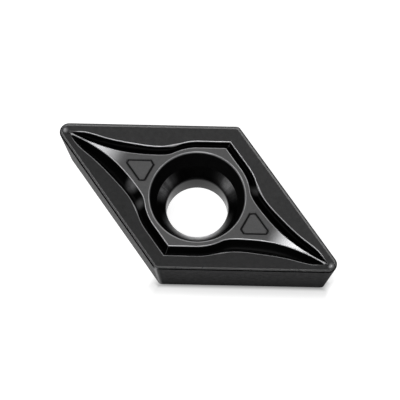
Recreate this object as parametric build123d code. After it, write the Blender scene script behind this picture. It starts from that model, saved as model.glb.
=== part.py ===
"""Indexable carbide turning insert: a 55 degree rhombus with a single-sided chipbreaker.

The insert is one sintered piece. It lies on its flat seating face at z = 0, with the
screw hole's axis on Z and the long diagonal, from nose to nose, along X. Lengths are
in millimetres and angles in degrees.
"""
from build123d import *
import math
import os

# Body
inscribed_circle = 9.525    # diameter of the circle that touches the four cutting edges
thickness = 3.97            # seating face to cutting edge
nose_angle = 55.0
relief_angle = 7.0
nose_radius = 0.6           # cutting corner, at the cutting edge
nose_radius_seat = 0.25     # the same corner at the seating face
blunt_radius = 0.3          # obtuse corner, at the cutting edge
blunt_radius_seat = 0.2
hone = 0.07                 # rounding of the cutting edge

# Rake bands, which fall inwards from the land behind the cutting edge
land_width = 0.20
rake_angle = 13.0
crease_radius = 0.03        # rounding left in the creases where two bands meet

# Screw hole
bore_diameter = 3.8
bore_top = 2.2              # seating face to the top of the bore
cone_diameter = 5.0         # upper end of the screw head's cone
cone_top = 2.87
rim_diameter = 5.93         # mouth of the hole on the plateau
rim_chamfer = 0.08
seat_chamfer_height = 0.75  # lead-in at the seating face
seat_chamfer_width = 0.35

# Plateau: a boss round the hole, straight sides that touch it, and a finger to each nose
boss_land = 0.2725          # flat ring between the hole's mouth and the boss's edge
plateau_rise = 0.10         # plateau above the cutting edge
plateau_wall_run = 0.20     # width of the sloping plateau wall in plan
finger_bend_angle = 35.0    # where the finger leaves the boss, from the long diagonal
finger_tip_back = 0.45      # nose tip to the end of the finger's ridge
finger_tip_half = 0.02
# (share of the way from the ridge's end back to the boss, half width of the top)
finger_stations = ((0.86, 1.19), (0.637, 0.555), (0.484, 0.262), (0.33, 0.098), (0.215, 0.03))
ramp_back = 4.75            # nose tip to the place where the finger starts to fall
ramp_drop = 0.20            # fall of the ridge from there to its end

# Chip groove, which follows the plateau between it and the rake bands
groove_width = 0.545        # plateau's edge to the groove's outer crest, along the boss
groove_depth = 0.47         # cutting edge down to the groove floor
groove_crest_drop = 0.19    # cutting edge down to the groove's outer crest
groove_wall_run = 0.16      # width of the sloping outer wall in plan
groove_bend_angle = 46.0    # where the groove leaves the boss, from the long diagonal
groove_tip_back = 0.62      # nose tip to the end of the groove
groove_tip_half = 0.10
groove_run_out = 0.75       # how much sooner the floor ends than the crest
# (share of the way from the groove's end back to the boss, half width between crests)
groove_stations = ((0.861, 2.03), (0.626, 1.38), (0.311, 0.76), (0.099, 0.40))

# Index marks, one triangular line beside each finger's root
mark_base = 3.36            # hole axis to the side that faces the hole
mark_length = 1.72          # that side to the sharp corner that points to the nose
mark_corner_cut = 0.22      # length cut from each sharp corner
mark_line_width = 0.10
mark_depth = 0.04

half_angle = math.radians(nose_angle / 2)
touch_angle = 90 - nose_angle / 2
circle_radius = inscribed_circle / 2
relief_run = thickness * math.tan(math.radians(relief_angle))
groove_floor = thickness - groove_depth
groove_crest = thickness - groove_crest_drop
plateau_top = thickness + plateau_rise
boss_radius = rim_diameter / 2 + boss_land
groove_radius = boss_radius + groove_width
nose_tip = circle_radius / math.sin(half_angle) - nose_radius * (1 / math.sin(half_angle) - 1)


def on_circle(radius, angle):
    """Return the point of a circle about the hole axis at an angle from the long diagonal."""
    return (radius * math.cos(math.radians(angle)), radius * math.sin(math.radians(angle)))


def four_fold(quarter, height):
    """Return the closed outline of a quarter that runs from +X to +Y, mirrored twice."""
    upper_left = [edge.mirror(Plane.YZ) for edge in reversed(quarter)]
    lower_left = [edge.mirror(Plane.XZ) for edge in reversed(upper_left)]
    lower_right = [edge.mirror(Plane.XZ) for edge in reversed(quarter)]
    outline = Wire(quarter + upper_left + lower_left + lower_right)
    return outline.moved(Location((0, 0, height)))


def rhombus(inset, nose, blunt, height):
    """Return the rhombus at one distance inside the cutting edge, with rounded corners."""
    touch = circle_radius - inset
    nose_centre = (touch - nose) / math.sin(half_angle)
    blunt_centre = (touch - blunt) / math.cos(half_angle)
    corner = CenterArc((nose_centre, 0), nose, 0, touch_angle)
    blunt_corner = CenterArc((0, blunt_centre), blunt, touch_angle, 90 - touch_angle)
    side = Line(corner @ 1, blunt_corner @ 0)
    return four_fold([corner, side, blunt_corner], height)


def rake_outline(inset):
    """Return the level line of the rake bands at one distance inside the cutting edge."""
    nose = max(nose_radius - inset, crease_radius)
    blunt = max(blunt_radius - inset, crease_radius)
    fall = (inset - land_width) * math.tan(math.radians(rake_angle))
    return rhombus(inset, nose, blunt, thickness - fall)


def boss_outline(radius, bend_angle, stations, tip_back, tip_half, height):
    """Return an outline with straight sides, arcs about the hole and a tail to each nose."""
    middle = Line(on_circle(radius, touch_angle), (0, radius / math.cos(half_angle)))
    arc = CenterArc((0, 0), radius, bend_angle, touch_angle - bend_angle)
    tail_start = on_circle(radius, bend_angle)
    tail_end = (nose_tip - tip_back, tip_half)
    tail_length = tail_end[0] - tail_start[0]
    points = [(tail_end[0] - share * tail_length, half) for share, half in stations]
    leave = on_circle(1, bend_angle - 90)
    arrive = (nose_tip - points[-1][0], -points[-1][1])
    tail = Spline(tail_start, *points, tail_end, tangents=[leave, arrive])
    end = Line((tail_end[0], 0), tail_end)
    return four_fold([end, tail, arc, middle], height)


def make_blank():
    """Return the body with its relief flanks, without a chipbreaker or a hole."""
    seat = rhombus(relief_run, nose_radius_seat, blunt_radius_seat, 0)
    top = rhombus(0, nose_radius, blunt_radius, thickness)
    blank = Solid.make_loft([seat, top], ruled=True)
    cutting_edge = blank.faces().sort_by(Axis.Z)[-1].edges()
    return blank.fillet(hone, cutting_edge)


def make_rake_pocket():
    """Return what the four rake bands remove, as far in as the groove reaches."""
    corner_inset = nose_radius - crease_radius
    reach = circle_radius - boss_radius + plateau_wall_run
    upper = Solid.make_loft([rake_outline(land_width), rake_outline(corner_inset)], ruled=True)
    lower = Solid.make_loft([rake_outline(corner_inset), rake_outline(reach)], ruled=True)
    return upper + lower


def make_groove():
    """Return what the chip groove removes, together with the room for the plateau."""
    crest = boss_outline(groove_radius, groove_bend_angle, groove_stations,
                         groove_tip_back, groove_tip_half, groove_crest)
    floor_stations = [(share, half - groove_wall_run) for share, half in groove_stations]
    floor = boss_outline(groove_radius - groove_wall_run, groove_bend_angle, floor_stations,
                         groove_tip_back + groove_run_out, groove_tip_half / 2, groove_floor)
    wall = Solid.make_loft([floor, crest], ruled=True)
    return wall + extrude(Face(crest), amount=plateau_top - groove_crest)


def make_plateau():
    """Return the plateau with its fingers, from the groove floor up."""
    crest = boss_outline(boss_radius, finger_bend_angle, finger_stations,
                         finger_tip_back, finger_tip_half, plateau_top)
    foot_stations = [(share, half + plateau_wall_run) for share, half in finger_stations]
    foot = boss_outline(boss_radius + plateau_wall_run, finger_bend_angle, foot_stations,
                        finger_tip_back, finger_tip_half + plateau_wall_run, groove_floor)
    plateau = Solid.make_loft([foot, crest], ruled=True)
    ramp = make_ramp_cut()
    return plateau - ramp - ramp.mirror(Plane.YZ)


def make_ramp_cut():
    """Return what is cut from above one finger, so that it curves down to the nose."""
    start = nose_tip - ramp_back
    length = ramp_back - finger_tip_back
    radius = (length ** 2 + ramp_drop ** 2) / (2 * ramp_drop)
    sweep = math.degrees(math.asin(length / radius))
    fall = Plane.XZ * CenterArc((start, plateau_top - radius), radius, 90, -sweep)
    beyond = (nose_tip, 0, (fall @ 1).Z)
    above = plateau_top + thickness
    rest = Polyline(fall @ 1, beyond, (nose_tip, 0, above), (start, 0, above), fall @ 0)
    return extrude(make_face([fall, rest]), amount=circle_radius, both=True)


def make_hole():
    """Return what the screw hole removes: lead-in, bore, screw cone, upper wall and rim."""
    bore = bore_diameter / 2
    rim = rim_diameter / 2
    above = plateau_top + rim_chamfer
    profile = Polyline(
        (0, 0), (bore + seat_chamfer_width, 0), (bore, seat_chamfer_height), (bore, bore_top),
        (cone_diameter / 2, cone_top), (rim - rim_chamfer, plateau_top - rim_chamfer),
        (rim + rim_chamfer, above), (0, above), (0, 0))
    return revolve(Plane.XZ * make_face(profile), Axis.Z)


def make_mark():
    """Return the triangular line that is sunk into the plateau beside the right finger."""
    rise = mark_length * math.tan(half_angle)
    sharp = [Vector(mark_base, -rise), Vector(mark_base + mark_length, 0), Vector(mark_base, rise)]
    corners = []
    for index, corner in enumerate(sharp):
        before = (sharp[index - 1] - corner).normalized()
        after = (sharp[(index + 1) % 3] - corner).normalized()
        corners += [corner + before * mark_corner_cut, corner + after * mark_corner_cut]
    middle = make_face(Polyline(*corners, close=True))
    line = offset(middle, mark_line_width / 2) - offset(middle, -mark_line_width / 2)
    return extrude(Pos(0, 0, plateau_top) * line, amount=-mark_depth)


def make_insert():
    """Return the whole insert as one solid."""
    mark = make_mark()
    insert = make_blank() - make_rake_pocket() - make_groove() + make_plateau()
    insert = insert - make_hole() - mark - mark.mirror(Plane.YZ)
    return insert


insert_body = make_insert()
os.makedirs("parts", exist_ok=True)
export_step(insert_body, "parts/insert_body.step")
print("insert_body", round(insert_body.volume, 2), insert_body.bounding_box())
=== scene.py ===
# %% [markdown]
# # A carbide turning insert
#
# The object is a small rhombus of sintered carbide with a black coating. It is pressed in
# one piece, so the whole lesson builds one closed mesh. The CAD model gives its size and
# place. Here it gets rounded crests, a channelled chip groove and its finishes.

# %% The frame
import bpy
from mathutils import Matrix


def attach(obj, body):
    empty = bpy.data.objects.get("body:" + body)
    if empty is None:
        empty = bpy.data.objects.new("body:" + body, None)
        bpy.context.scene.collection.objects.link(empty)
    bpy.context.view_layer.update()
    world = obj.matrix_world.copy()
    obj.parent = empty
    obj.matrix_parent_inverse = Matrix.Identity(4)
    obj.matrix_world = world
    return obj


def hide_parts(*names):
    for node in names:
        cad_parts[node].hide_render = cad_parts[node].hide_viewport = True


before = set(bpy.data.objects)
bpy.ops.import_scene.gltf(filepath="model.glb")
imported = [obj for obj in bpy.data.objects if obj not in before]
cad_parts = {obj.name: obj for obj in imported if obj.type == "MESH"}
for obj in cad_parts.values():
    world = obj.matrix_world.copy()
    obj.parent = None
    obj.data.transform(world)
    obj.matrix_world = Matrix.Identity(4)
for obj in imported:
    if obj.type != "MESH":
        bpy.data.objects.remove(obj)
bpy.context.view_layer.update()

# %% [markdown]
# ## Tools of the trade
#
# The insert is drawn in millimetres and brought to metres at the very end, so that small
# steps such as a 0.04 mm rounding stay easy to read.

# %% Imports and the unit
import bmesh
import bpy
import math
import numpy as np
from mathutils import Vector
from mathutils.geometry import delaunay_2d_cdt

MILLIMETRE = 0.001
print("one drawn unit is", MILLIMETRE, "m")

# %% [markdown]
# ## Sums written as sums
#
# A node tree is easier to read when its maths looks like maths. `Value` wraps one socket
# and adds a Math node for each operator. `Nodes` has the one method that makes any node:
# its type, its settings first, then the values or links of its sockets.

# %% Values and nodes
class Value:
    """One output socket, which takes part in sums."""

    def __init__(self, tree, socket):
        self.tree = tree
        self.socket = socket

    def math(self, operation, *others):
        """The result of one Math node on this value and the others."""
        return self.tree.node("ShaderNodeMath", {"operation": operation},
                              dict(enumerate((self, *others))))

    def __add__(self, other):
        return self.math("ADD", other)

    def __mul__(self, other):
        return self.math("MULTIPLY", other)

    def __sub__(self, other):
        return self.math("SUBTRACT", other)

    def __truediv__(self, other):
        return self.math("DIVIDE", other)

    def __rsub__(self, other):
        return self.tree.node("ShaderNodeMath", {"operation": "SUBTRACT"}, {0: other, 1: self})

    __radd__ = __add__
    __rmul__ = __mul__

    def output(self, name):
        """Another output of the node that this value comes from."""
        return Value(self.tree, self.socket.node.outputs[name])

    def eased(self, start, end, first, last):
        """Goes softly from first to last while this value goes from start to end."""
        return self.tree.node("ShaderNodeMapRange", {"interpolation_type": "SMOOTHSTEP"},
                              {"Value": self, "From Min": start, "From Max": end,
                               "To Min": first, "To Max": last})


class Nodes:
    """A node tree with one method that makes nodes."""

    def __init__(self, node_tree):
        self.node_tree = node_tree

    def node(self, kind, settings=None, sockets=None):
        """The first output of a new node with its settings, values and links."""
        made = self.node_tree.nodes.new(kind)
        for name, setting in (settings or {}).items():
            setattr(made, name, setting)
        for name, value in (sockets or {}).items():
            for single in value if isinstance(value, list) else [value]:
                if isinstance(single, Value):
                    self.node_tree.links.new(single.socket, made.inputs[name])
                else:
                    made.inputs[name].default_value = single
        return Value(self, made.outputs[0]) if made.outputs else None

    def axes(self, vector):
        """The X, Y and Z of a vector."""
        parts = self.node("ShaderNodeSeparateXYZ", {}, {0: vector})
        return parts, parts.output("Y"), parts.output("Z")


def distance_of(x, y):
    """How far a point lies from the origin, in plan."""
    return (x * x + y * y).math("SQRT")


# %% [markdown]
# ## The rhombus
#
# Every outline of the insert is the same four times over, so only the quarter between the
# right nose and the far obtuse corner is drawn. The cutting edge touches an inscribed
# circle, and the flanks lean in under it by the relief angle.

# %% Body sizes
INSCRIBED_CIRCLE = 9.525
THICKNESS = 3.97
NOSE_ANGLE = 55.0
RELIEF_ANGLE = 7.0
NOSE_RADIUS = 0.6
NOSE_RADIUS_SEAT = 0.25
BLUNT_RADIUS = 0.3
BLUNT_RADIUS_SEAT = 0.2

circle_radius = INSCRIBED_CIRCLE / 2
half_angle = math.radians(NOSE_ANGLE / 2)
touch_angle = math.pi / 2 - half_angle
relief_run = THICKNESS * math.tan(math.radians(RELIEF_ANGLE))


def nose_reach(touch, radius):
    """How far a rounded nose reaches, on a rhombus whose sides touch a circle."""
    return touch / math.sin(half_angle) - radius * (1 / math.sin(half_angle) - 1)


nose_tip = nose_reach(circle_radius, NOSE_RADIUS)
print("nose to nose", 2 * nose_tip, "mm")

# %% Outline of the quarter
NOSE_STEPS = 16
SIDE_STEPS = 90
BLUNT_STEPS = 6


def rhombus_quarter(inset, nose, blunt):
    """Points and outward directions from the nose to the obtuse corner."""
    touch = circle_radius - inset
    nose_centre = np.array([(touch - nose) / math.sin(half_angle), 0])
    blunt_centre = np.array([0, (touch - blunt) / math.cos(half_angle)])
    turns = [touch_angle * step / NOSE_STEPS for step in range(NOSE_STEPS + 1)]
    outward = [np.array([math.cos(turn), math.sin(turn)]) for turn in turns]
    points = [nose_centre + nose * way for way in outward]
    last = np.array([math.cos(touch_angle), math.sin(touch_angle)])
    side_end = blunt_centre + blunt * last
    for step in range(1, SIDE_STEPS):
        points.append(points[NOSE_STEPS] + (side_end - points[NOSE_STEPS]) * step / SIDE_STEPS)
        outward.append(last)
    for step in range(BLUNT_STEPS + 1):
        turn = touch_angle + (math.pi / 2 - touch_angle) * step / BLUNT_STEPS
        way = np.array([math.cos(turn), math.sin(turn)])
        points.append(blunt_centre + blunt * way)
        outward.append(way)
    return np.array(points), np.array(outward)


edge_line, edge_ways = rhombus_quarter(0, NOSE_RADIUS, BLUNT_RADIUS)
seat_line, seat_ways = rhombus_quarter(relief_run, NOSE_RADIUS_SEAT, BLUNT_RADIUS_SEAT)
print("points round a quarter", len(edge_line))

# %% [markdown]
# ## The crest lines
#
# Two lines carry the shape of the chipbreaker: the edge of the raised plateau, and the outer
# edge of the groove round it. Each has a straight side, an arc about the screw hole, and a
# long tail to the nose. The tail is a smooth spline through a few stations, solved so that
# its curvature has no jumps, because a glossy crest shows every kink.

# %% A smooth line through stations
def smooth_line(stations, leave, arrive, spacing):
    """Points of the cubic spline through the stations, with set directions at its ends."""
    knots = np.array(stations)
    spans = np.linalg.norm(np.diff(knots, axis=0), axis=1)
    count = len(knots)
    system = np.eye(count)
    wanted = np.zeros((count, 2))
    wanted[0] = np.array(leave) / np.linalg.norm(leave)
    wanted[-1] = np.array(arrive) / np.linalg.norm(arrive)
    for index in range(1, count - 1):
        before, after = spans[index - 1], spans[index]
        system[index, index - 1:index + 2] = (1 / before, 2 / before + 2 / after, 1 / after)
        wanted[index] = 3 * ((knots[index] - knots[index - 1]) / before ** 2
                             + (knots[index + 1] - knots[index]) / after ** 2)
    slopes = np.linalg.solve(system, wanted)
    points = [knots[0]]
    for index, span in enumerate(spans):
        steps = math.ceil(span / spacing)
        for step in range(1, steps + 1):
            way = step / steps
            points.append(knots[index] * (1 + 2 * way) * (1 - way) ** 2
                          + slopes[index] * span * way * (1 - way) ** 2
                          + knots[index + 1] * way ** 2 * (3 - 2 * way)
                          + slopes[index + 1] * span * way ** 2 * (way - 1))
    return points


# %% Crest outlines
CREST_SPACING = 0.08


def on_circle(radius, degrees):
    """Point of a circle about the hole, at an angle from the long diagonal."""
    return np.array([math.cos(math.radians(degrees)), math.sin(math.radians(degrees))]) * radius


def straight(start, end, spacing):
    """Evenly spaced points from start to end, without the start."""
    steps = max(1, math.ceil(math.dist(start, end) / spacing))
    return [start + (end - start) * step / steps for step in range(1, steps + 1)]


def crest_quarter(radius, bend_degrees, stations, tip_back, tip_half):
    """The quarter of a crest line from the nose to the obtuse corner."""
    tail_start = on_circle(radius, bend_degrees)
    tip = np.array([nose_tip - tip_back, 0.0])
    tail_end = tip + (0, tip_half)
    length = tail_end[0] - tail_start[0]
    knots = [tail_start]
    for share, half in stations:
        knots.append(np.array([tail_end[0] - share * length, half]))
    knots.append(tail_end)
    leave = on_circle(1, bend_degrees - 90)
    arrive = (nose_tip - knots[-2][0], -knots[-2][1])
    tail = smooth_line(knots, leave, arrive, CREST_SPACING)[::-1]
    touch_degrees = math.degrees(touch_angle)
    turns = math.ceil(radius * math.radians(touch_degrees - bend_degrees) / CREST_SPACING)
    arc = [on_circle(radius, bend_degrees + (touch_degrees - bend_degrees) * turn / turns)
           for turn in range(1, turns + 1)]
    corner = np.array([0, radius / math.cos(half_angle)])
    return np.array([tip, *tail, *arc, *straight(arc[-1], corner, CREST_SPACING)])


# %% [markdown]
# The plateau carries the screw head, so its boss is set by the mouth of the hole, and the
# groove follows the boss. A finger runs from the boss to each nose and gets very thin.

# %% Plateau and groove lines
RIM_RADIUS = 2.965
BOSS_LAND = 0.2725
GROOVE_WIDTH = 0.545
FINGER_BEND = 35
FINGER_TIP_BACK = 0.45
FINGER_TIP_HALF = 0.02
GROOVE_BEND = 46
GROOVE_TIP_BACK = 0.62
GROOVE_TIP_HALF = 0.10
FINGER_STATIONS = ((0.86, 1.19), (0.637, 0.555), (0.484, 0.262), (0.33, 0.098), (0.215, 0.03))
GROOVE_STATIONS = ((0.861, 2.03), (0.626, 1.38), (0.311, 0.76), (0.099, 0.40))

boss_radius = RIM_RADIUS + BOSS_LAND
plateau_line = crest_quarter(boss_radius, FINGER_BEND, FINGER_STATIONS,
                             FINGER_TIP_BACK, FINGER_TIP_HALF)
groove_line = crest_quarter(boss_radius + GROOVE_WIDTH, GROOVE_BEND, GROOVE_STATIONS,
                            GROOVE_TIP_BACK, GROOVE_TIP_HALF)
print("plateau line", len(plateau_line), "points, groove line", len(groove_line), "points")

# %% [markdown]
# ## Index marks
#
# A triangular line with cut corners is pressed into the plateau beside each finger's root.
# Only its upper half is drawn, because the long diagonal cuts it in two.

# %% Mark line
MARK_BASE = 3.36
MARK_LENGTH = 1.72
MARK_BASE_CUT = 0.32
MARK_SHARP_CUT = 0.24
MARK_SPACING = 0.06


def mark_quarter():
    """The upper half of the triangle, from the side near the hole to the sharp corner."""
    rise = MARK_LENGTH * math.tan(half_angle)
    blunt = np.array([MARK_BASE, rise])
    sharp = np.array([MARK_BASE + MARK_LENGTH, 0.0])
    along = (sharp - blunt) / np.linalg.norm(sharp - blunt)
    turns = [np.array([MARK_BASE, 0.0]), blunt - (0, MARK_BASE_CUT),
             blunt + along * MARK_BASE_CUT, sharp - along * MARK_SHARP_CUT]
    turns.append(np.array([turns[-1][0], 0.0]))
    line = [turns[0]]
    for start, end in zip(turns, turns[1:]):
        line += straight(start, end, MARK_SPACING)
    return np.array(line)


mark_line = mark_quarter()
print("mark line", len(mark_line), "points")

# %% [markdown]
# Each nose carries a small round bump just inside its edge, with a dimple behind it. Together
# they curl the chip before it meets the finger.

# %% Nose bump
BUMP_BACK = 0.34
BUMP_RADIUS = 0.24
DIMPLE_BACK = 0.6
DIMPLE_RADIUS = 0.17
HALF_CIRCLE_STEPS = 12
bump_at = nose_tip - BUMP_BACK
dimple_at = nose_tip - DIMPLE_BACK


def half_circle(middle, radius):
    """The upper half of a circle whose centre lies on the long diagonal."""
    turns = [180 * step / HALF_CIRCLE_STEPS for step in range(HALF_CIRCLE_STEPS + 1)]
    return np.array([np.array([middle, 0]) + on_circle(radius, turn) for turn in turns])


print("bump at", bump_at, "dimple at", dimple_at)

# %% [markdown]
# ## Turned sections
#
# The hole is turned from one section, and the flank sweeps another round the outline. Both
# are corners joined by straight runs, and every corner gets a small arc, since no pressed
# and coated edge is sharp.

# %% A section with rounded corners
def rounded(corners, radii, steps):
    """Points of an open line whose inner corners are rounded to the given radii."""
    line = [np.array(corners[0], float)]
    for index, radius in enumerate(radii, start=1):
        before, here, after = (np.array(corners[index + step], float) for step in (-1, 0, 1))
        come = (here - before) / np.linalg.norm(here - before)
        go = (after - here) / np.linalg.norm(after - here)
        turn = math.acos(max(-1.0, min(1.0, float(come @ go))))
        centre = here + (go - come) / np.linalg.norm(go - come) * radius / math.cos(turn / 2)
        start = here - come * radius * math.tan(turn / 2) - centre
        ahead = come * radius
        for step in range(steps + 1):
            angle = turn * step / steps
            line.append(centre + start * math.cos(angle) + ahead * math.sin(angle))
    line.append(np.array(corners[-1], float))
    return np.array(line)


# %% Hole and flank sections
PLATEAU_RISE = 0.10
PLATEAU_TOP = THICKNESS + PLATEAU_RISE
HONE = 0.07
HONE_STEPS = 6
SEAT_BREAK = 0.05
FLANK_SHARES = (0.02, 0.5, 0.98)
RIM_CHAMFER = 0.08
CONE_RADIUS = 2.5
CONE_TOP = 2.87
BORE_RADIUS = 1.9
BORE_TOP = 2.2
LEAD_IN = 0.35
LEAD_IN_TOP = 0.75
# One rounding for each corner of the hole, from the plateau down to the seating face
HOLE_ROUNDINGS = (0.03, 0.03, 0.06, 0.45, 0.10, 0.04)
HOLE_ROUNDING_STEPS = 5
# The first and last runs only give the end corners a direction, and are cut off again
END_RUN = 0.3

hole_corners = [(RIM_RADIUS + END_RUN, PLATEAU_TOP), (RIM_RADIUS, PLATEAU_TOP),
                (RIM_RADIUS - RIM_CHAMFER, PLATEAU_TOP - RIM_CHAMFER), (CONE_RADIUS, CONE_TOP),
                (BORE_RADIUS, BORE_TOP), (BORE_RADIUS, LEAD_IN_TOP), (BORE_RADIUS + LEAD_IN, 0),
                (BORE_RADIUS + LEAD_IN + END_RUN, 0)]
hole_section = rounded(hole_corners, HOLE_ROUNDINGS, HOLE_ROUNDING_STEPS)[1:-1]
flank_corners = [(-END_RUN, THICKNESS), (0, THICKNESS), (-relief_run, 0),
                 (-relief_run - END_RUN, 0)]
flank_section = rounded(flank_corners, (HONE, SEAT_BREAK), HONE_STEPS)[1:-1]
hone_end, break_start = flank_section[HONE_STEPS:HONE_STEPS + 2]
stops = [hone_end + (break_start - hone_end) * share for share in FLANK_SHARES]
flank_section = np.insert(flank_section, HONE_STEPS + 1, stops, axis=0)
top_inset = -flank_section[0][0]
seat_inset = -flank_section[-1][0] - relief_run
print("hole rows", len(hole_section), "flank rows", len(flank_section))

# %% [markdown]
# ## The plan of the chip face
#
# Seen from above, the chip face is a flat map. Rows of points run beside each crest line, as
# close together as the rounding of the crest needs, and a constrained triangulation joins
# them. The height comes later, from a rule.

# %% Rows beside a line
DIAGONAL_GAP = 0.004
MITRE_LIMIT = 0.6
ROUNDING_ERROR = 1e-9


def mitred(line):
    """Outward directions of a line in the quarter, which mirrors at both of its ends."""
    across = np.diff(line, axis=0)[:, ::-1] * (1, -1)
    across /= np.linalg.norm(across, axis=1)[:, None]
    before = np.vstack([across[0] * (1, -1), across])
    after = np.vstack([across, across[-1] * (-1, 1)])
    ways = before + after
    return ways / np.maximum(np.sum(ways * before, axis=1), MITRE_LIMIT)[:, None]


def beside(line, offset):
    """The line moved outwards, kept within the quarter and clear of the long diagonal."""
    moved = line + mitred(line) * offset
    keep = (moved[:, 0] > -ROUNDING_ERROR) & (moved[:, 1] > DIAGONAL_GAP)
    keep[0] = keep[1] and moved[0, 1] > -ROUNDING_ERROR
    keep[-1] = keep[-2] and moved[-1, 1] > -ROUNDING_ERROR
    return moved[keep]


def between(first, second, share):
    """A row part of the way from one line to another, matched by their length."""
    ways = []
    for line in (first, second):
        lengths = np.concatenate([[0], np.cumsum(np.linalg.norm(np.diff(line, axis=0), axis=1))])
        ways.append((lengths / lengths[-1], line))
    steps = ways[0][0]
    other = np.stack([np.interp(steps, ways[1][0], ways[1][1][:, axis]) for axis in (0, 1)], 1)
    return first + (other - first) * share


def holds(loop, points):
    """True for each point inside a closed loop."""
    inside = np.zeros(len(points), bool)
    for (ax, ay), (bx, by) in zip(loop, np.roll(loop, -1, axis=0)):
        crosses = (ay > points[:, 1]) != (by > points[:, 1])
        if ay != by:
            inside ^= crosses & (points[:, 0] < ax + (points[:, 1] - ay) * (bx - ax) / (by - ay))
    return inside


def quarter_loop(line):
    """The line closed over the hole's axis."""
    return np.vstack([[0.0, 0.0], line])


# %% Triangulation
SAME_SPOT = 0.001
BORDER = 1e-5


def triangulate(rows, outline, mouth):
    """Triangles over the quarter between the mouth of the hole and the outline."""
    points, edges = [], []
    for row in rows:
        first = len(points)
        points += [Vector(point) for point in row]
        edges += [(index, index + 1) for index in range(first, len(points) - 1)]
    spots, _, faces, *_ = delaunay_2d_cdt(points, edges, [], 0, SAME_SPOT)
    spots = np.array([tuple(spot) for spot in spots])
    middles = np.array([spots[list(face)].mean(axis=0) for face in faces])
    loop = quarter_loop(outline * (1 - BORDER))
    keep = holds(loop, middles) & ~holds(quarter_loop(mouth), middles)
    keep &= middles.min(axis=1) > BORDER
    return spots, [face for face, kept in zip(faces, keep) if kept], middles[keep]


def circle_quarter(radius, steps):
    """A quarter circle about the hole, from the long diagonal to the short one."""
    return np.array([on_circle(radius, 90 * step / steps) for step in range(steps + 1)])


# %% Rows of the chip face
HOLE_STEPS = 60
CREST_ROWS = (-0.075, -0.045, -0.03, -0.02, -0.01, 0, 0.01, 0.02, 0.03, 0.045, 0.075)
LAND_ROWS = (0.12, 0.17, 0.185, 0.2, 0.215, 0.23, 0.26, 0.35, 0.5)
MARK_ROWS = (-0.1, -0.075, -0.06, -0.045, -0.03, -0.015,
             0, 0.015, 0.03, 0.045, 0.06, 0.075, 0.1)
RIM_ROWS = (0.045, 0.07, 0.1)
FOLD_ROWS = (0.01, 0.022, 0.034)
NOSE_SHARES = (0.25, 0.5, 0.75, 1)
SMALLEST_CORNER = 0.02
FLOOR_SHARES = (0.12, 0.2, 0.28, 0.36, 0.44, 0.52, 0.6, 0.68, 0.76, 0.84, 0.92)

top_line = edge_line - edge_ways * top_inset
rim_line = circle_quarter(hole_section[0][0], HOLE_STEPS)
axis_line = straight(rim_line[0], top_line[0], CREST_SPACING)
rows = [top_line, rim_line, [rim_line[0], *axis_line], [rim_line[-1], top_line[-1]]]
for inset in LAND_ROWS:
    blunt = max(BLUNT_RADIUS - inset, SMALLEST_CORNER)
    rows.append(rhombus_quarter(inset, NOSE_RADIUS - inset, blunt)[0])
for offset in CREST_ROWS:
    rows.append(beside(groove_line, offset))
    rows.append(beside(plateau_line, offset))
for offset in MARK_ROWS:
    rows.append(beside(mark_line, offset))
for offset in RIM_ROWS:
    rows.append(circle_quarter(RIM_RADIUS + offset, HOLE_STEPS))
for shift in FOLD_ROWS:
    rows.append([(shift, plateau_line[-1][1]), (shift, groove_line[-1][1])])
for share in NOSE_SHARES:
    rows.append(half_circle(bump_at, BUMP_RADIUS * share))
    rows.append(half_circle(dimple_at, DIMPLE_RADIUS * share))
for share in FLOOR_SHARES:
    rows.append(between(groove_line, plateau_line, share))
spots, faces, middles = triangulate(rows, top_line, rim_line)
print("chip face plan", len(spots), "points", len(faces), "triangles")

# %% [markdown]
# Each triangle is told its finish, and each point on which side of the two crest lines it
# lies. The height rule needs that, since a distance alone has no sign.

# %% Finishes and sides
FINISHES = ("honed_edge", "land", "pressed_rake", "chip_groove", "plateau_top", "flank",
            "screw_seat")
EDGE, LAND, RAKE, GROOVE, PLATEAU, FLANK, SEAT = range(len(FINISHES))
LAND_WIDTH = 0.20
NUDGE = 1e-4


def linked(name, data):
    """A new object of the scene."""
    made = bpy.data.objects.new(name, data)
    bpy.context.scene.collection.objects.link(made)
    return made


def plan_object(name, spots, faces, finishes, sides):
    """A flat mesh with a finish on each face and named numbers on its points."""
    mesh = bpy.data.meshes.new(name)
    mesh.from_pydata([(x, y, 0) for x, y in spots], [], faces)
    mesh.attributes.new("finish", "INT", "FACE").data.foreach_set("value", finishes)
    for side, values in sides.items():
        mesh.attributes.new(side, "FLOAT", "POINT").data.foreach_set("value", values)
    return linked(name, mesh)


land_line = rhombus_quarter(LAND_WIDTH, NOSE_RADIUS - LAND_WIDTH, BLUNT_RADIUS - LAND_WIDTH)[0]
finishes = np.full(len(faces), LAND)
finishes[holds(quarter_loop(land_line), middles)] = RAKE
finishes[holds(quarter_loop(groove_line), middles)] = GROOVE
finishes[holds(quarter_loop(plateau_line), middles)] = PLATEAU
nudged = spots + NUDGE
sides = {
    "in_groove": np.where(holds(quarter_loop(groove_line), nudged), 1.0, -1.0),
    "off_plateau": np.where(holds(quarter_loop(plateau_line), nudged), -1.0, 1.0),
}
chip_face = plan_object("chip_face_plan", spots, faces, finishes, sides)
print("faces by finish", dict(zip(FINISHES, np.bincount(finishes).tolist())))

# %% [markdown]
# The seating face is flat and has no detail, so it needs only its own edge and the mouth of
# the hole, joined by the same triangulation.

# %% Seat face plan
seat_mouth = circle_quarter(hole_section[-1][0], HOLE_STEPS)
seat_edge = seat_line - seat_ways * seat_inset
seat_rows = [seat_edge, seat_mouth]
seat_rows += [[seat_mouth[end], seat_edge[end]] for end in (0, -1)]
seat_spots, seat_faces, _ = triangulate(seat_rows, seat_edge, seat_mouth)
seat_face = plan_object("seat_face_plan", seat_spots, seat_faces,
                        np.full(len(seat_faces), FLANK), {})
print("seat face", len(seat_faces), "triangles")

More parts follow.
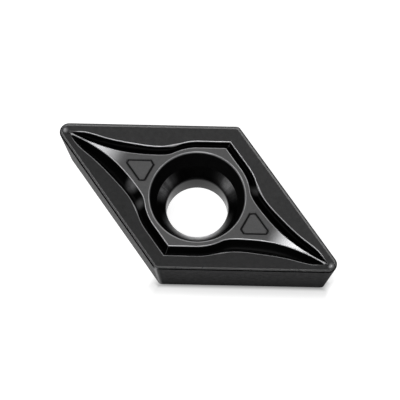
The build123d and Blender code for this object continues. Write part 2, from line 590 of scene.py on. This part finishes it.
# %% [markdown]
# The node tree can't read Python lists, so each line is handed to it as a small object: it
# measures distances from some of them and reads points off the others.

# %% Guide lines
def guide(name, points, **numbers):
    """A line of edges that the node tree measures from or samples."""
    points = [tuple(point) + (0,) * (3 - len(point)) for point in points]
    mesh = bpy.data.meshes.new(name)
    mesh.from_pydata(points, [(index, index + 1) for index in range(len(points) - 1)], [])
    for label, vectors in numbers.items():
        flat = [part for x, y in vectors for part in (x, y, 0)]
        mesh.attributes.new(label, "FLOAT_VECTOR", "POINT").data.foreach_set("vector", flat)
    return linked(name, mesh)


guides = {
    "Cutting edge": guide("cutting_edge", edge_line, outward=edge_ways),
    "Seat edge": guide("seat_edge", seat_line, outward=seat_ways),
    "Groove line": guide("groove_line", groove_line),
    "Plateau line": guide("plateau_line", plateau_line),
    "Mark line": guide("mark_line", mark_line),
    "Hole section": guide("hole_section", [(r, 0, z) for r, z in hole_section]),
    "Flank section": guide("flank_section", [(o, 0, z) for o, z in flank_section]),
    "Seat face": seat_face,
}
print("guides", ", ".join(guides))

# %% [markdown]
# ## The tree that presses the insert
#
# Geometry Nodes build the body, because every part of it follows a rule. The chip face is
# lifted by its distances from the crest lines: the rake bands fall from the cutting edge,
# the groove walls fall from the crests, and smooth minimum and maximum round every crest
# and channel. The flank and the hole sweep their sections round the outline and the circle.

# %% Tree inputs
press = bpy.data.node_groups.new("press_insert", "GeometryNodeTree")
tree = Nodes(press)
for way in ("OUTPUT", "INPUT"):
    press.interface.new_socket("Geometry", in_out=way, socket_type="NodeSocketGeometry")
SIZES = {
    "Thickness": THICKNESS,
    "Land width": LAND_WIDTH,
    "Land slope": math.tan(math.radians(5)),
    "Rake slope": math.tan(math.radians(13)),
    "Groove wall slope": math.tan(math.radians(58)),
    "Groove rounding": 0.03,
    "Groove depth": 0.47,
    "Groove bottom": 0.3,
    "Run out slope": 0.85,
    "Cove power": 1.5,
    "Channel rounding": 0.08,
    "Plateau top": PLATEAU_TOP,
    "Plateau rounding": 0.035,
    "Ramp start": nose_tip - 4.75,
    "Ramp radius": 46.5,
    "Mark depth": 0.045,
    "Mark half width": 0.075,
    "Relief run": relief_run,
    "Bump height": 0.07,
    "Dimple depth": 0.05,
}
identifiers = {}
for labels, kind in ((SIZES, "NodeSocketFloat"), (guides, "NodeSocketObject")):
    for label in labels:
        socket = press.interface.new_socket(label, in_out="INPUT", socket_type=kind)
        identifiers[label] = socket.identifier
group_in = tree.node("NodeGroupInput")
size = {label: group_in.output(label) for label in SIZES}
plan_in = group_in.output("Geometry")


def shape_of(label):
    """The geometry of one of the guide objects."""
    info = tree.node("GeometryNodeObjectInfo", {}, {"Object": group_in.output(label)})
    return info.output("Geometry")


print("tree inputs", len(identifiers))

# %% [markdown]
# ### The height rule
#
# A distance from the cutting edge gives the rake bands. The groove's outer wall starts from
# them at the groove line, and the plateau's wall from the plateau at its own line.

# %% Distances in plan
def away_from(label):
    """Distance from a guide line, in plan."""
    nearest = tree.node("GeometryNodeProximity", {"target_element": "EDGES"},
                        {0: shape_of(label)})
    return nearest.output("Distance")


def named(attribute, kind="FLOAT"):
    """What was stored on the points or faces under a name."""
    return tree.node("GeometryNodeInputNamedAttribute", {"data_type": kind},
                     {"Name": attribute})


across, along, level = tree.axes(tree.node("GeometryNodeInputPosition"))
from_edge = away_from("Cutting edge")
from_crest = away_from("Groove line")
from_plateau = away_from("Plateau line")
from_hole_axis = distance_of(across, along)

# %% Rake bands and the groove's outer wall
LAND_CREASE = 0.03

past_land = from_edge - size["Land width"]
in_land = from_edge.math("SMOOTH_MIN", size["Land width"], LAND_CREASE) - top_inset
land = size["Thickness"] + size["Land slope"] * in_land
rake = land - size["Rake slope"] * past_land.math("SMOOTH_MAX", 0.0, LAND_CREASE)
into_groove = from_crest * named("in_groove")
outer = rake.math("SMOOTH_MIN", rake - size["Groove wall slope"] * into_groove,
                  size["Groove rounding"])

# %% [markdown]
# The finger falls along an arc from the start of its ramp. The groove's floor gets shallow
# where the two crest lines meet, and coves up to the plateau, because a pressed groove has
# no sharp corner that could hold a chip.

# %% Plateau, fingers and groove floor
MARK_FLOOR_HALF = 0.02
RUN_OUT_ROUNDING = 0.1

past_ramp = (across - size["Ramp start"]).math("MAXIMUM", 0.0)
ramp_square = size["Ramp radius"] * size["Ramp radius"]
fall = size["Ramp radius"] - (ramp_square - past_ramp * past_ramp).math("SQRT")
mark_cut = away_from("Mark line").eased(MARK_FLOOR_HALF, size["Mark half width"],
                                        size["Mark depth"], 0.0)
plateau = size["Plateau top"] - fall - mark_cut
gap = from_crest + from_plateau
floor_depth = size["Groove depth"].math("SMOOTH_MIN", gap * size["Run out slope"],
                                        RUN_OUT_ROUNDING)
groove_floor = size["Thickness"] - floor_depth
rise = (1 - from_plateau / gap / (1 - size["Groove bottom"])).math("MAXIMUM", 0.0)
cove = groove_floor + (plateau - groove_floor) * rise.math("POWER", size["Cove power"])
wall = plateau.math("SMOOTH_MIN", plateau - (plateau - cove) * named("off_plateau"),
                    size["Plateau rounding"])
height = outer.math("SMOOTH_MAX", wall, size["Channel rounding"])


# %% Nose bump and dimple
def round_spot(middle, radius, aside=0.0):
    """1 on a point and 0 at a distance from it, in plan."""
    return distance_of(across - middle, along - aside).eased(0.0, radius, 1.0, 0.0)


bump = round_spot(bump_at, BUMP_RADIUS)
dimple = round_spot(dimple_at, DIMPLE_RADIUS)
height = height + size["Bump height"] * bump - size["Dimple depth"] * dimple

# %% [markdown]
# ### Where the crests and recesses are painted
#
# The crests are painted bright, partly as wear of the coating and partly as painted highlight,
# and the pressed marks and the dimple get painted shade. Both follow the same distances as the
# shape, so they are stored on the points here, and the materials read them later. A crest that
# was painted by hand would not sit on its line.

# %% Wear and painted highlights of the crests
CREST_EDGE = (0.008, 0.034)
GROOVE_WEAR_AND_HIGHLIGHT = 1.0
PLATEAU_WEAR_AND_HIGHLIGHT = 0.8
RIM_WEAR_AND_HIGHLIGHT = 0.42
FOLD_HIGHLIGHT = 0.06
TIP_WEAR_AND_HIGHLIGHT = 0.1
GROOVE_FADE = (1.3, 0.75)
FINGER_FADE = (0.85, 0.6)
# Where the groove's crest line is painted wider, as a painted highlight at the S-bend
BEND = (3.0, 2.4)
BEND_RADIUS = 0.6


def near(distance, amount):
    """The amount of wear and painted highlight on a line, which ends a little beside it."""
    return distance.math("ABSOLUTE").eased(*CREST_EDGE, amount, 0.0)


def toward_tip(start, end):
    """1 along the tail and little at the nose, between two distances from its tip."""
    return across.eased(nose_tip - start, nose_tip - end, 1.0, TIP_WEAR_AND_HIGHLIGHT)


# The crest lines are partly wear and partly painted highlight. The groove's line is painted
# wider at the S-bends, and the fold across the groove is a painted highlight.
wider_for_highlight = round_spot(BEND[0], BEND_RADIUS, BEND[1]) + 1
channel = (named("in_groove") + named("off_plateau")) * 0.5
crests = [near(from_crest / wider_for_highlight, GROOVE_WEAR_AND_HIGHLIGHT) * toward_tip(*GROOVE_FADE),
          near(from_plateau, PLATEAU_WEAR_AND_HIGHLIGHT) * toward_tip(*FINGER_FADE),
          near(from_hole_axis - RIM_RADIUS, RIM_WEAR_AND_HIGHLIGHT),
          near(across, FOLD_HIGHLIGHT) * channel]

# %% Painted highlights of the nose, and painted shade in the recesses
BUMP_HIGHLIGHT = 0.65
GLINT_HIGHLIGHT = 0.9
GLINT_BACK = 0.8
GLINT_RADIUS = 0.12


def stored(shape, name, kind, domain, value):
    """The shape with a named number on its points or faces."""
    return tree.node("GeometryNodeStoreNamedAttribute", {"data_type": kind, "domain": domain},
                     {"Geometry": shape, "Name": name, "Value": value})


def moved_to(shape, x, y, z):
    """The shape with its points at x, y and z."""
    spot = tree.node("ShaderNodeCombineXYZ", {}, {"X": x, "Y": y, "Z": z})
    return tree.node("GeometryNodeSetPosition", {}, {"Geometry": shape, "Position": spot})


# The bump's light and the glint at the ridge's end are painted highlights.
polish = bump * BUMP_HIGHLIGHT
glint = round_spot(nose_tip - GLINT_BACK, GLINT_RADIUS) * GLINT_HIGHLIGHT
for rubbed in (*crests, glint):
    polish = polish.math("MAXIMUM", rubbed)
# Painted shade in the pressed marks and in the dimple.
recess = (mark_cut / size["Mark depth"]).math("MAXIMUM", dimple)
plan_in = stored(plan_in, "polish", "FLOAT", "POINT", polish)
plan_in = stored(plan_in, "recess", "FLOAT", "POINT", recess)
pressed = moved_to(plan_in, across, along, height)
print("nodes for the chip face", len(press.nodes))

# %% [markdown]
# ### Flank and hole
#
# The flank and the hole are grids. A grid's point number gives its column, which is a place
# along the outline, and its row, which is a place on the section.

# %% Swept grids
def grid_with(columns, rows):
    """A grid of points, with the column and the row of each."""
    grid = tree.node("GeometryNodeMeshGrid", {}, {"Vertices X": columns, "Vertices Y": rows})
    number = tree.node("GeometryNodeInputIndex")
    column = (number / rows).math("FLOOR")
    return grid, column, number - column * rows


def sampled(label, index, attribute=None):
    """X, Y and Z of a guide line's point: of its position, or of a named vector."""
    if attribute:
        field = named(attribute, "FLOAT_VECTOR")
    else:
        field = tree.node("GeometryNodeInputPosition")
    found = tree.node("GeometryNodeSampleIndex",
                      {"data_type": "FLOAT_VECTOR", "domain": "POINT"},
                      {"Geometry": shape_of(label), "Value": field, "Index": index})
    return tree.axes(found)


def placed(grid, x, y, z, finish):
    """The grid with its points at x, y and z, and its finish on its faces."""
    return stored(moved_to(grid, x, y, z), "finish", "INT", "FACE", finish)


def turned_over(shape):
    """The shape with its faces pointing the other way."""
    return tree.node("GeometryNodeFlipFaces", {}, {"Mesh": shape})


# %% Flank and seating face
CORNER_HIGHLIGHT = 0.3
CORNER_EDGE = (0.02, 0.16)

flank_grid, column, row = grid_with(len(edge_line), len(flank_section))
stand_out, _, row_height = sampled("Flank section", row)
down = 1 - row_height / size["Thickness"]
proud = stand_out + size["Relief run"] * down
top_x, top_y, _ = sampled("Cutting edge", column)
way_x, way_y, _ = sampled("Cutting edge", column, "outward")
low_x, low_y, _ = sampled("Seat edge", column)
flank_x = top_x * (1 - down) + low_x * down + way_x * proud
flank_y = top_y * (1 - down) + low_y * down + way_y * proud
# The honed top of the flank gets the honed edge finish, which is painted nearly black as painted
# shade.
honed = level.math("GREATER_THAN", size["Thickness"] - HONE / 2)
flank = placed(flank_grid, flank_x, flank_y, row_height, FLANK - honed * (FLANK - EDGE))
# A painted highlight down each obtuse corner of the flank.
corner_highlight = across.eased(*CORNER_EDGE, CORNER_HIGHLIGHT, 0.0)
flank = turned_over(stored(flank, "polish", "FLOAT", "POINT", corner_highlight))
seat = turned_over(shape_of("Seat face"))

# %% Hole
hole_grid, column, row = grid_with(HOLE_STEPS + 1, len(hole_section))
turn = column * (math.pi / 2 / HOLE_STEPS)
wall_radius, _, row_height = sampled("Hole section", row)
# The upper wall of the hole gets the honed edge finish, painted nearly black as painted shade.
upper = level.math("GREATER_THAN", CONE_TOP)
hole = placed(hole_grid, wall_radius * turn.math("COSINE"), wall_radius * turn.math("SINE"),
              row_height, SEAT - (SEAT - EDGE) * upper)
# The hole's rim is painted bright, partly as wear and partly as painted highlight.
hole = stored(hole, "polish", "FLOAT", "POINT", near(level - size["Plateau top"], RIM_WEAR_AND_HIGHLIGHT))
print("nodes with flank and hole", len(press.nodes))

# %% [markdown]
# ### One closed skin
#
# The four pieces of the quarter are joined and mirrored twice, and the shared borders are
# merged, so the result is one closed skin. A mirror turns faces inside out, so each image is
# flipped back. The skin is brought to metres, and each face gets the material of its finish.

# %% Mirrors and materials
MERGE_DISTANCE = 0.0001

materials = {name: bpy.data.materials.new(name) for name in FINISHES}


def with_mirror(shape, scale):
    """The shape together with its mirror image."""
    image = tree.node("GeometryNodeTransform", {}, {"Geometry": shape, "Scale": scale})
    return tree.node("GeometryNodeJoinGeometry", {}, {0: [shape, turned_over(image)]})


quarter = tree.node("GeometryNodeJoinGeometry", {}, {0: [pressed, flank, hole, seat]})
whole = with_mirror(with_mirror(quarter, (1, -1, 1)), (-1, 1, 1))
skin = tree.node("GeometryNodeMergeByDistance", {}, {"Geometry": whole,
                                                     "Distance": MERGE_DISTANCE})
skin = tree.node("GeometryNodeSetShadeSmooth", {}, {"Geometry": skin})
skin = tree.node("GeometryNodeTransform", {}, {"Geometry": skin, "Scale": (MILLIMETRE,) * 3})
skin = tree.node("GeometryNodeRealizeInstances", {}, {"Geometry": skin})
finish = named("finish", "INT")
for index, name in enumerate(FINISHES):
    chosen = tree.node("FunctionNodeCompare", {"data_type": "INT", "operation": "EQUAL"},
                       {"A": finish, "B": index})
    skin = tree.node("GeometryNodeSetMaterial", {}, {"Geometry": skin, "Selection": chosen,
                                                     "Material": materials[name]})
tree.node("NodeGroupOutput", {}, {0: skin})
print("nodes in the whole tree", len(press.nodes))

# %% [markdown]
# The tree runs on the plan of the chip face. Weighted normals make the flat faces shade
# flat and leave the turn of the light to the small roundings, as on a ground part. The result
# becomes a plain mesh, and the plans and guides are no longer needed.

# %% The insert
modifier = chip_face.modifiers.new("press", "NODES")
modifier.node_group = press
for label, value in {**SIZES, **guides}.items():
    modifier[identifiers[label]] = value
weighted = chip_face.modifiers.new("flat faces first", "WEIGHTED_NORMAL")
weighted.weight = 100
evaluated = chip_face.evaluated_get(bpy.context.evaluated_depsgraph_get())
skin_mesh = bpy.data.meshes.new_from_object(evaluated)
chip_face.modifiers.clear()
insert = linked("insert", skin_mesh)
for helper in (chip_face, *guides.values()):
    bpy.data.objects.remove(helper)
print("insert", len(skin_mesh.vertices), "vertices", len(skin_mesh.polygons), "faces")

# %% Check of the skin
check = bmesh.new()
check.from_mesh(skin_mesh)
open_edges = [edge for edge in check.edges if not edge.is_manifold or not edge.is_contiguous]
volume = check.calc_volume(signed=True) / MILLIMETRE ** 3
print("open edges", len(open_edges), "volume", volume, "mm3")
check.free()

# %% The insert takes the place of the plain solid
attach(insert, "root")
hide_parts("insert_body")
print("insert stands for insert_body")

# %% [markdown]
# ## The coating
#
# The real insert has one thin black coating, but its faces reflect differently: the land is
# smooth and the pressed rake is dull. The groove and the honed edge are painted almost black, as
# painted shade, and the crests are painted bright, partly as wear and partly as painted
# highlight.
# So one function makes every finish from a grey, a roughness and a reflection. The wear with its
# painted highlights, and the painted shade of the recesses, are read from the points, where the
# tree stored them.

# %% Shaders and colours
COLD = 1.02


def neutral(tree, grey, blue_share=1.0):
    """A colour from one number, whose blue can be a little stronger."""
    return tree.node("ShaderNodeCombineColor", {}, {"Red": grey, "Green": grey,
                                                    "Blue": grey * blue_share})


def principled(tree, colour, roughness, reflection, metallic=0.0, normal=None):
    """A Principled shader in a plain grey, or in a colour that varies."""
    if not isinstance(colour, Value):
        colour = (colour, colour, colour * COLD, 1)
    sockets = {"Base Color": colour, "Roughness": roughness, "Metallic": metallic,
               "Specular IOR Level": reflection}
    if normal:
        sockets["Normal"] = normal
    return tree.node("ShaderNodeBsdfPrincipled", {}, sockets)


def mixed(tree, factor, base, other):
    """The base shader, which gives way to the other by a factor."""
    return tree.node("ShaderNodeMixShader", {}, {0: factor, 1: base, 2: other})


def noise(tree, place, scale, detail):
    """A noise pattern over a place."""
    return tree.node("ShaderNodeTexNoise", {}, {"Vector": place, "Scale": scale,
                                                "Detail": detail})


def in_millimetres(tree, place):
    """X, Y and Z of a place, in millimetres."""
    return [part / MILLIMETRE for part in tree.axes(place)]


# %% [markdown]
# Three faces need more than one grey. The flank is painted darker towards the seating face, as
# painted shade. The groove gets a few soft light patches, painted reflections of the room. The
# hole's cone gets painted highlights on two sides, broken into streaks, and a painted light near
# side. Each rule takes the face's grey and returns one that varies.

# %% Greys that vary over a face
FLANK_FOOT = 0.45
# The middle's x and y, the reach and the grey of each painted reflection patch
SHEENS = ((-3.85, -1.05, 0.65, 0.09), (-2.9, -1.95, 0.45, 0.05), (2.8, 2.15, 0.45, 0.04))


def painted_shade_below(tree, place, grey):
    """The flank's grey, with painted shade towards the seating face."""
    _, _, up = in_millimetres(tree, place)
    return (up * ((1 - FLANK_FOOT) / THICKNESS) + FLANK_FOOT) * grey


def with_painted_sheens(tree, place, grey):
    """The groove's grey with its painted reflection patches."""
    x, y, _ = in_millimetres(tree, place)
    for middle_x, middle_y, reach, amount in SHEENS:
        away = distance_of(x - middle_x, y - middle_y)
        grey = away.eased(0.0, reach, amount, 0.0) + grey
    return grey


# %% Painted highlights in the hole
STREAK_HIGHLIGHT_GREY = 0.12
STREAK_SIDES = ((-1.0, 0.0), (0.48, 0.88))
STREAK_POWER = 26.0
STREAK_HEIGHTS = (2.15, 2.6)
RAY_SCALE = 3.5
# From and to on the noise, and what is left of a streak at each
RAY_CONTRAST = (0.35, 0.65, 0.3, 1.0)
NEAR_SIDE = (0.47, -0.88)
NEAR_POWER = 3.0
NEAR_HIGHLIGHT_GREY = 1.3
NEAR_HEIGHTS = (2.8, 2.1)


def facing(east, north, side, power):
    """Light where the wall lies on one side of the hole, and dark elsewhere."""
    return (east * side[0] + north * side[1]).math("MAXIMUM", 0.0).math("POWER", power)


def with_painted_highlights(tree, place, grey):
    """The hole's grey with painted highlights in streaks and a painted light near side of its
    cone.
    """
    x, y, up = in_millimetres(tree, place)
    east, north = x / distance_of(x, y), y / distance_of(x, y)
    way = tree.node("ShaderNodeCombineXYZ", {}, {"X": east, "Y": north})
    rays = noise(tree, way, RAY_SCALE, detail=3.0).eased(*RAY_CONTRAST)
    streaks = sum(facing(east, north, side, STREAK_POWER) for side in STREAK_SIDES)
    streaks = rays * streaks * up.eased(*STREAK_HEIGHTS, 0.0, STREAK_HIGHLIGHT_GREY)
    near_side = facing(east, north, NEAR_SIDE, NEAR_POWER)
    return streaks + near_side * up.eased(*NEAR_HEIGHTS, 0.0, NEAR_HIGHLIGHT_GREY) + grey


# %% [markdown]
# Each finger gets a bare-metal shader where it curves towards the nose, so its highlight is
# partly the lamp's reflection and partly painted. It starts a little sooner and is stronger on
# the right finger, which mirrors less of the lamp, so that the painted highlight makes up for
# it.

# %% Finger highlights
FINGER_GREY = 0.22
FINGER_START = 4.95
FINGER_END = 7.1
FINGER_SOONER = 0.01
FINGER_SHARE = 0.72
FINGER_STRONGER = 0.043


def finger_highlights(tree, place, surface):
    """The plateau's finish, which turns to a bare-metal shader along each finger, as partly
    painted highlight.
    """
    x, _, _ = in_millimetres(tree, place)
    start = FINGER_START - x * FINGER_SOONER
    share = FINGER_SHARE + x * FINGER_STRONGER
    bare = principled(tree, FINGER_GREY, roughness=0.14, reflection=0.5, metallic=1.0)
    return mixed(tree, x.math("ABSOLUTE").eased(start, FINGER_END, 0.0, share), surface, bare)


# %% [markdown]
# Every finish has the same grain. A coarse mottle and a fine grain vary the grey and a very
# small bump, and the mottle varies the roughness too, as a coating over sintered powder does.

# %% One coated finish
MOTTLE_SCALE = 4000.0
GRAIN_SCALE = 22000.0
GRAIN_HEIGHT = 0.000004
GRAIN_STRENGTH = 0.35
ROUGHNESS_SPREAD = 0.15
RECESS_SHADE_GREY = 0.002
WEAR_AND_HIGHLIGHT_GREY = 0.6
UNEVEN_SCALE = 450.0
# From and to on the noise, and what is left of the wear and painted highlight at each
UNEVEN_CONTRAST = (0.35, 0.6, 0.7, 1.0)


def coated(name, grey, roughness, reflection, rule=None, cover=None):
    """One finish. A rule can vary its grey, and a cover can change its whole shader."""
    material = materials[name]
    material.use_nodes = True
    material.node_tree.nodes.clear()
    tree = Nodes(material.node_tree)
    place = tree.node("ShaderNodeTexCoord").output("Object")
    mottle = noise(tree, place, MOTTLE_SCALE, detail=4.0)
    grain = noise(tree, place, GRAIN_SCALE, detail=2.0)
    if rule:
        grey = rule(tree, place, grey)
    relief = tree.node("ShaderNodeBump", {}, {"Strength": GRAIN_STRENGTH,
                                              "Distance": GRAIN_HEIGHT,
                                              "Height": grain + mottle})
    surface = principled(tree, neutral(tree, (mottle + grain) * grey, COLD),
                         roughness + (mottle - 0.5) * ROUGHNESS_SPREAD, reflection,
                         normal=relief)
    if cover:
        surface = cover(tree, place, surface)
    # Painted shade in the recesses, and wear with painted highlights on the crests, the rim, the
    # fold, the flank's corners, the bump and the glint.
    recess = tree.node("ShaderNodeAttribute", {"attribute_name": "recess"}).output("Fac")
    polish = tree.node("ShaderNodeAttribute", {"attribute_name": "polish"}).output("Fac")
    uneven = noise(tree, place, UNEVEN_SCALE, detail=1.0).eased(*UNEVEN_CONTRAST)
    dark = principled(tree, RECESS_SHADE_GREY, roughness=0.5, reflection=0.1)
    wear_and_highlight_shader = principled(tree, WEAR_AND_HIGHLIGHT_GREY, roughness=0.3, reflection=0.5, metallic=0.45)
    surface = mixed(tree, recess, surface, dark)
    surface = mixed(tree, polish * uneven, surface, wear_and_highlight_shader)
    tree.node("ShaderNodeOutputMaterial", {}, {"Surface": surface})


# %% The seven finishes
# The honed edge and the groove are painted nearly black, as painted shade. The groove also gets
# painted reflections, and the hole gets painted highlights.
coated("honed_edge", grey=0.003, roughness=0.5, reflection=0.0)
coated("land", grey=0.014, roughness=0.3, reflection=0.6)
coated("pressed_rake", grey=0.018, roughness=0.55, reflection=0.26)
coated("chip_groove", grey=0.0006, roughness=0.3, reflection=0.02, rule=with_painted_sheens)
coated("plateau_top", grey=0.027, roughness=0.45, reflection=0.5, cover=finger_highlights)
coated("flank", grey=0.045, roughness=0.15, reflection=0.00016, rule=painted_shade_below)
coated("screw_seat", grey=0.0008, roughness=0.2, reflection=0.08, rule=with_painted_highlights)
print("finishes", ", ".join(materials))

# %% [markdown]
# ## Floor
#
# The insert lies on white paper. The photograph is so bright that the paper is pure white
# but for a soft shadow under the front edge. A lit plane alone would turn grey, so the paper
# also glows for rays from the camera, mirrors and glass. The glow fades towards the seating
# edge, which leaves the shadow, and stays in the screw hole. Under the insert and seen from
# below the paper is clear, so that the seating face can be looked at.

# %% The sheet
FLOOR_WIDTH = 2.0
PAPER_GREY = 0.4
FLOOR_GLOW = 0.9

bpy.ops.mesh.primitive_plane_add(size=FLOOR_WIDTH)
floor = bpy.context.object
floor.name = "floor"
paper = bpy.data.materials.new("white_paper")
paper.use_nodes = True
paper.node_tree.nodes.clear()
sheet = Nodes(paper.node_tree)
x, y, _ = in_millimetres(sheet, sheet.node("ShaderNodeTexCoord").output("Object"))
seat_touch = circle_radius - relief_run
off_side = (x.math("ABSOLUTE") * math.sin(half_angle) + y.math("ABSOLUTE") * math.cos(half_angle)
            - seat_touch)
print("the seating edge touches a circle of", seat_touch, "mm")

# %% Where the paper glows
BRIGHT_HOLE = 2.4
# Start, end and painted glow of the shadow's dark core and of its pale rest, from the seating
# edge
SHADOW_CORE = (-0.04, 0.3, 0.52)
SHADOW_REST = (0.15, 1.3, 0.38)
# The painted glow covers the real shadow beside the left side, at the right nose and in the hole
LEFT_CLEAR = (-0.4, 1.0)
RIGHT_CLEAR = (8.6, 9.8)
HOLE_CLEAR = (0.0, 0.1)

off_hole = BRIGHT_HOLE - distance_of(x, y)
glow = sum(off_side.eased(start, end, 0.0, amount)
           for start, end, amount in (SHADOW_CORE, SHADOW_REST))
for distance, (start, end) in ((x * -1, LEFT_CLEAR), (x, RIGHT_CLEAR), (off_hole, HOLE_CLEAR)):
    glow = glow.math("MAXIMUM", distance.eased(start, end, 0.0, FLOOR_GLOW))
rays = sheet.node("ShaderNodeLightPath")
seen = rays.math("MAXIMUM", rays.output("Is Glossy Ray"))
seen = seen.math("MAXIMUM", rays.output("Is Transmission Ray"))

# %% The paper's shader
UNDER_MARGIN = 0.03
NOSE_MARGIN = 0.07

seat_tip = nose_reach(seat_touch, NOSE_RADIUS_SEAT)
under = off_side.math("LESS_THAN", -UNDER_MARGIN) * off_hole.math("LESS_THAN", 0.0)
under = under * x.math("ABSOLUTE").math("LESS_THAN", seat_tip - NOSE_MARGIN)
behind = sheet.node("ShaderNodeNewGeometry").output("Backfacing")
white = sheet.node("ShaderNodeBsdfPrincipled", {}, {
    "Base Color": (PAPER_GREY, PAPER_GREY, PAPER_GREY, 1), "Roughness": 0.9,
    "Specular IOR Level": 0.0, "Emission Color": neutral(sheet, seen * glow),
    "Emission Strength": 1.0})
nothing = sheet.node("ShaderNodeBsdfTransparent")
sheet.node("ShaderNodeOutputMaterial", {}, {
    "Surface": mixed(sheet, under.math("MAXIMUM", behind), white, nothing)})
floor.data.materials.append(paper)
print("nodes in the paper", len(paper.node_tree.nodes))

# %% [markdown]
# ## The room
#
# The camera sees a white room, but the room lights the insert only a little. Most of the
# light comes from the lamps, which keeps the black faces black.

# %% World
ROOM_GREY = 0.2

world = bpy.data.worlds.new("studio")
bpy.context.scene.world = world
world.use_nodes = True
world.node_tree.nodes.clear()
sky = Nodes(world.node_tree)
camera_ray = sky.node("ShaderNodeLightPath")
room = neutral(sky, camera_ray * (1 - ROOM_GREY) + ROOM_GREY)
backdrop = sky.node("ShaderNodeBackground", {}, {"Color": room, "Strength": 1.0})
sky.node("ShaderNodeOutputWorld", {}, {"Surface": backdrop})
print("room grey", ROOM_GREY)

# %% [markdown]
# ## Camera
#
# The photograph was taken from high above the front edge with a long lens. The direction,
# the roll and the distance were found by laying the insert's outline over the photograph's.

# %% Camera
CAMERA_AZIMUTH = 27.99
CAMERA_ELEVATION = 68.69
CAMERA_ROLL = 0.77
CAMERA_DISTANCE = 0.19627
CAMERA_AIM = Vector((0.2336, -0.0787, 3.97)) * MILLIMETRE
SENSOR_WIDTH = 36
FOCAL_LENGTH = 288.56

camera_data = bpy.data.cameras.new("camera")
camera_data.sensor_width = SENSOR_WIDTH
camera_data.lens = FOCAL_LENGTH
camera_data.clip_start = 0.01
camera_data.clip_end = 10
camera = linked("camera", camera_data)
bpy.context.scene.camera = camera
azimuth, elevation = math.radians(CAMERA_AZIMUTH), math.radians(CAMERA_ELEVATION)
back = Vector((math.sin(azimuth) * math.cos(elevation),
               -math.cos(azimuth) * math.cos(elevation), math.sin(elevation)))
camera.location = CAMERA_AIM + back * CAMERA_DISTANCE
camera.rotation_euler = (-back).to_track_quat("-Z", "Y").to_euler()
camera.rotation_euler.rotate_axis("Z", math.radians(CAMERA_ROLL))
print("camera at", tuple(camera.location))

# %% [markdown]
# ## Lamps
#
# Three soft boxes light the insert. The key lamp stands in front and lights the flank and
# the rake. The mirror lamp stands where the plateau and the fingers reflect it to the
# camera. The side lamp gives the left crests their line of light.

# %% Lamps
def softbox(name, toward, distance, wide, deep, radiance):
    """A rectangular lamp that faces the insert from a direction."""
    data = bpy.data.lights.new(name, "AREA")
    data.shape = "RECTANGLE"
    data.size = wide
    data.size_y = deep
    data.energy = radiance * math.pi * wide * deep
    lamp = linked(name, data)
    lamp.location = Vector(toward).normalized() * distance
    lamp.rotation_euler = (-lamp.location).to_track_quat("-Z", "Y").to_euler()
    print(name, "lamp", round(data.energy, 3), "W")


softbox("key", (0.25, -0.62, 0.75), 0.5, wide=0.3, deep=0.3, radiance=6)
softbox("mirror", (-0.195, 0.375, 0.906), 0.6, wide=0.24, deep=0.16, radiance=7)
softbox("side", (-0.62, -0.33, 0.71), 0.6, wide=0.25, deep=0.25, radiance=4)

# %% [markdown]
# ## Colour
#
# The Standard view shows a colour as it is written.

# %% Colour
bpy.context.scene.view_settings.view_transform = "Standard"
